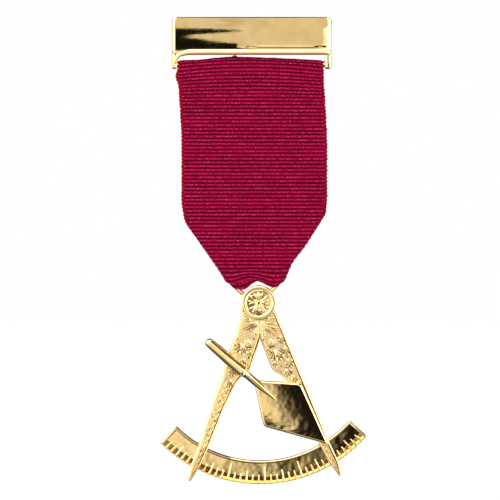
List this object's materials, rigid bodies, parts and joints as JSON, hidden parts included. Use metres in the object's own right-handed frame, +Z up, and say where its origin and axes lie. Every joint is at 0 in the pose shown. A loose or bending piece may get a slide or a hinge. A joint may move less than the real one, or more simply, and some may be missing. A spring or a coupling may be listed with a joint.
{
  "type": "masonic breast jewel",
  "caption": "Gilt brooch bar with a crimson ribbed ribbon and a hanging pendant of engraved compasses, graduated arc and trowel.",
  "frame": {"origin": "middle of the brooch pin's stem, behind the bar, where the jewel is pinned on", "axes": "+Z up, the jewel's front faces -Y, +X to the right of someone who looks at the front"},
  "size_m": [0.0541, 0.0095, 0.1234],
  "materials": {
    "polished_gilt": "polished gilt",
    "plain_gilt": "satin gilt",
    "engraved_gilt": "engraved, polished gilt",
    "crimson_ribbon": "ribbed weave"
  },
  "bodies": {
    "brooch": {"bar_case": "polished_gilt", "brooch_pin": "plain_gilt", "ribbon_rod": "plain_gilt", "ribbon": "crimson_ribbon", "suspension_ring": "plain_gilt"},
    "pendant": {"compasses": "engraved_gilt", "arc": "polished_gilt", "trowel": "polished_gilt"}
  },
  "joints": [
    {"name": "pendant_swing", "type": "hinge", "parent": "brooch", "child": "pendant", "pos_m": [0.00102, -0.0043, -0.06915], "axis": [1, 0, 0], "range_deg": [-20, 85]}
  ]
}
